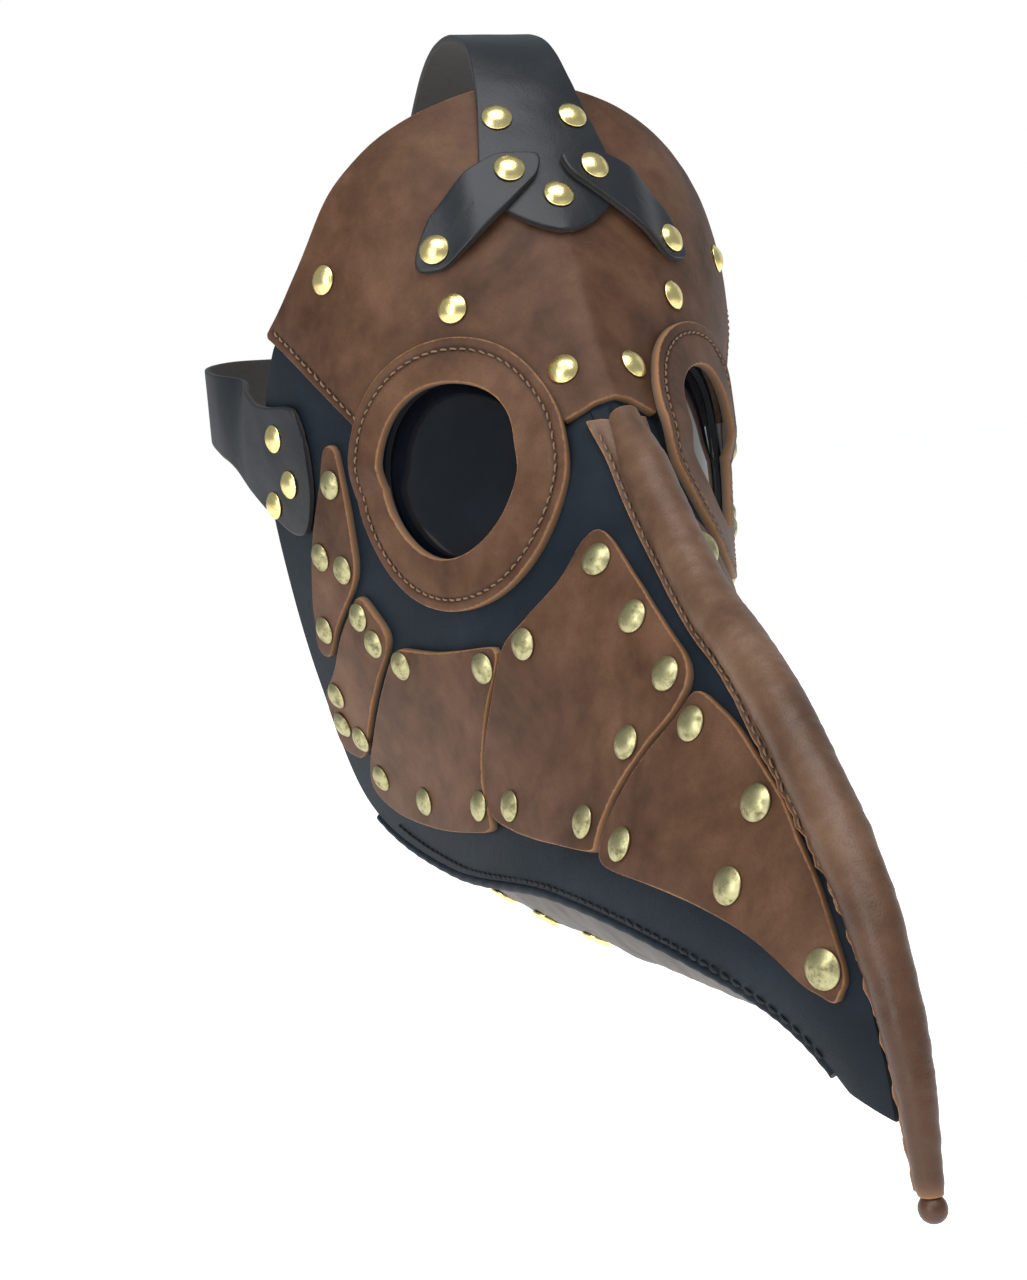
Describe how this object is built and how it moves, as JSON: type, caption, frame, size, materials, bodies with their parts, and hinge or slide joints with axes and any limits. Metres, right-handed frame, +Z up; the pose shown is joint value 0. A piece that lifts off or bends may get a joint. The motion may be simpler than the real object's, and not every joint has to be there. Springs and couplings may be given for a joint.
{
  "type": "plague doctor mask",
  "caption": "Beaked leather face mask with dark round eye lenses, riveted plates, and a head harness that closes with two prong buckles.",
  "frame": {"origin": "nose bridge on the wearer's midplane, where the lower edge of the forehead panel meets the ridge of the form", "axes": "-Y out of the face along the beak, +Y back to the wearer's head, +Z up, +X to the wearer's left"},
  "size_m": [0.181, 0.3824, 0.2803],
  "materials": {
    "brown_leather": "oiled brown leather with tan cut edges, rubbed darker in the middle of each piece",
    "black_leather": "matte blue-black leather with a fine grain",
    "grey_brown_leather": "worn grey-brown leather",
    "strap_leather": "satin black strap leather",
    "core_leather": "brown leather cord",
    "dark_lens": "dark tinted glossy plastic",
    "bright_brass": "polished brass",
    "antique_brass": "antique greenish brass",
    "buckle_brass": "brushed brass"
  },
  "bodies": {
    "mask": {"face_panel_right": "black_leather", "face_panel_left": "black_leather", "forehead_panel": "brown_leather", "beak_ridge": "brown_leather", "ridge_core": "core_leather", "beak_gusset": "grey_brown_leather", "seam_binding_right": "black_leather", "seam_binding_left": "black_leather", "eye_ring_right": "brown_leather", "eye_ring_left": "brown_leather", "lens_right": "dark_lens", "lens_left": "dark_lens", "lens_backing_right": "black_leather", "lens_backing_left": "black_leather", "temple_plate_right": "brown_leather", "temple_plate_left": "brown_leather", "jaw_plate_right": "brown_leather", "jaw_plate_left": "brown_leather", "cheek_plate_right": "brown_leather", "cheek_plate_left": "brown_leather", "beak_plate_right": "brown_leather", "beak_plate_left": "brown_leather", "tip_plate_right": "brown_leather", "tip_plate_left": "brown_leather", "plate_rivets_right": "antique_brass", "plate_rivets_left": "antique_brass", "forehead_rivets": "bright_brass", "crown_rivets": "bright_brass", "tab_rivets_right": "bright_brass", "tab_rivets_left": "bright_brass", "vent_eyelets": "bright_brass", "crown_strap": "strap_leather", "crown_arm_right": "strap_leather", "crown_arm_left": "strap_leather", "crown_rear_strap": "strap_leather", "crown_chape": "strap_leather", "rear_strap_right": "strap_leather", "rear_strap_left": "strap_leather", "rear_chape": "strap_leather", "harness_rivets": "bright_brass"},
    "rear_frame": {"rear_buckle_frame": "buckle_brass"},
    "rear_prong": {"rear_buckle_prong": "buckle_brass"},
    "rear_keeper": {"rear_keeper": "strap_leather"},
    "crown_frame": {"crown_buckle_frame": "buckle_brass"},
    "crown_prong": {"crown_buckle_prong": "buckle_brass"},
    "crown_keeper": {"crown_keeper": "strap_leather"}
  },
  "joints": [
    {"name": "rear_frame_turn", "type": "hinge", "parent": "mask", "child": "rear_frame", "pos_m": [0.044, 0.204, 0.006], "axis": [0, 0, 1], "range_deg": [-25, 0]},
    {"name": "rear_prong_turn", "type": "hinge", "parent": "rear_frame", "child": "rear_prong", "pos_m": [0.044, 0.204, 0.006], "axis": [0, 0, 1], "range_deg": [-20, 0]},
    {"name": "rear_keeper_slide", "type": "slide", "parent": "mask", "child": "rear_keeper", "axis": [0.9397, -0.342, 0], "range_m": [-0.0045, 0.0045]},
    {"name": "crown_frame_turn", "type": "hinge", "parent": "mask", "child": "crown_frame", "pos_m": [0, 0.165, 0.08], "axis": [1, 0, 0], "range_deg": [-25, 0]},
    {"name": "crown_prong_turn", "type": "hinge", "parent": "crown_frame", "child": "crown_prong", "pos_m": [0, 0.165, 0.08], "axis": [1, 0, 0], "range_deg": [-20, 0]},
    {"name": "crown_keeper_slide", "type": "slide", "parent": "mask", "child": "crown_keeper", "axis": [0, 0.766, -0.6428], "range_m": [-0.0045, 0.0045]}
  ]
}
